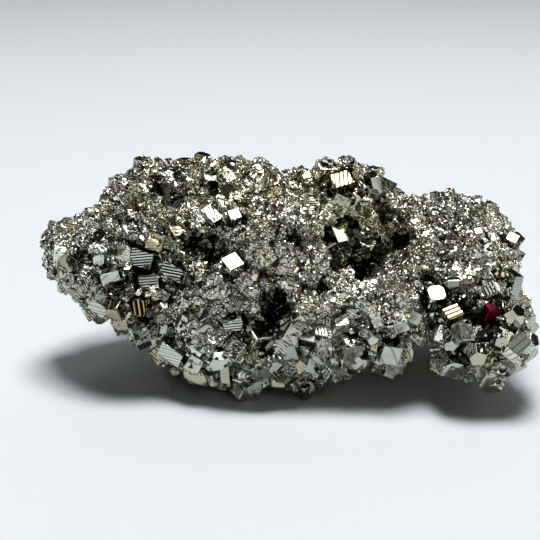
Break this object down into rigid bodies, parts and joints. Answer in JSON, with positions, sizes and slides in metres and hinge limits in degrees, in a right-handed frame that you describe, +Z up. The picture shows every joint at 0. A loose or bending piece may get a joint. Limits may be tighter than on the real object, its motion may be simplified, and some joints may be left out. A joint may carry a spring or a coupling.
{
  "type": "pyrite mineral specimen",
  "caption": "Free-standing cluster of intergrown metallic mineral crystals with larger cubic crystals seated in it, broken flat underneath to rest on a table or shelf.",
  "frame": {"origin": "under the middle of the bounding box, on the flat broken face that it rests on", "axes": "+X along the length from the tapering nose to the low cluster, +Y to the back, +Z up; the best face looks towards -Y"},
  "size_m": [0.1456, 0.0884, 0.0659],
  "materials": {
    "druse_pyrite": "natural metallic mineral, brassy grey, fine crystals all over",
    "crystal_pyrite": "natural bright crystal faces with fine growth lines",
    "tarnished_pyrite": "natural crystal face with a dark red oxide film"
  },
  "bodies": {
    "root": {"pyrite_mass": "druse_pyrite", "belly_end_cube": "crystal_pyrite", "belly_grey_cube": "crystal_pyrite", "belly_long_plate": "crystal_pyrite", "belly_oval_crystal": "crystal_pyrite", "belly_round_crystal": "crystal_pyrite", "belly_sage_cube": "crystal_pyrite", "belly_slanted_plate": "crystal_pyrite", "boulder_cube": "crystal_pyrite", "boulder_side_cube": "crystal_pyrite", "bright_cube": "crystal_pyrite", "cluster_left_crystal": "crystal_pyrite", "cluster_lens_crystal": "crystal_pyrite", "cluster_low_block": "crystal_pyrite", "cluster_red_face_block": "tarnished_pyrite", "cluster_side_crystal": "crystal_pyrite", "cluster_tan_crystal": "crystal_pyrite", "crest_blade": "crystal_pyrite", "crest_dark_cube": "crystal_pyrite", "crest_left_cube": "crystal_pyrite", "crest_plate": "crystal_pyrite", "crest_striped_block": "crystal_pyrite", "knob_crystal": "crystal_pyrite", "ledge_gold_block": "crystal_pyrite", "ledge_white_crystal": "crystal_pyrite", "nose_block": "crystal_pyrite", "nose_slanted_plate": "crystal_pyrite", "plateau_cube": "crystal_pyrite", "right_side_cube": "crystal_pyrite", "right_side_plate": "crystal_pyrite", "shoulder_block": "crystal_pyrite", "shoulder_gold_block": "crystal_pyrite", "shoulder_long_plate": "crystal_pyrite", "shoulder_olive_cube": "crystal_pyrite", "shoulder_plate": "crystal_pyrite"}
  },
  "joints": []
}
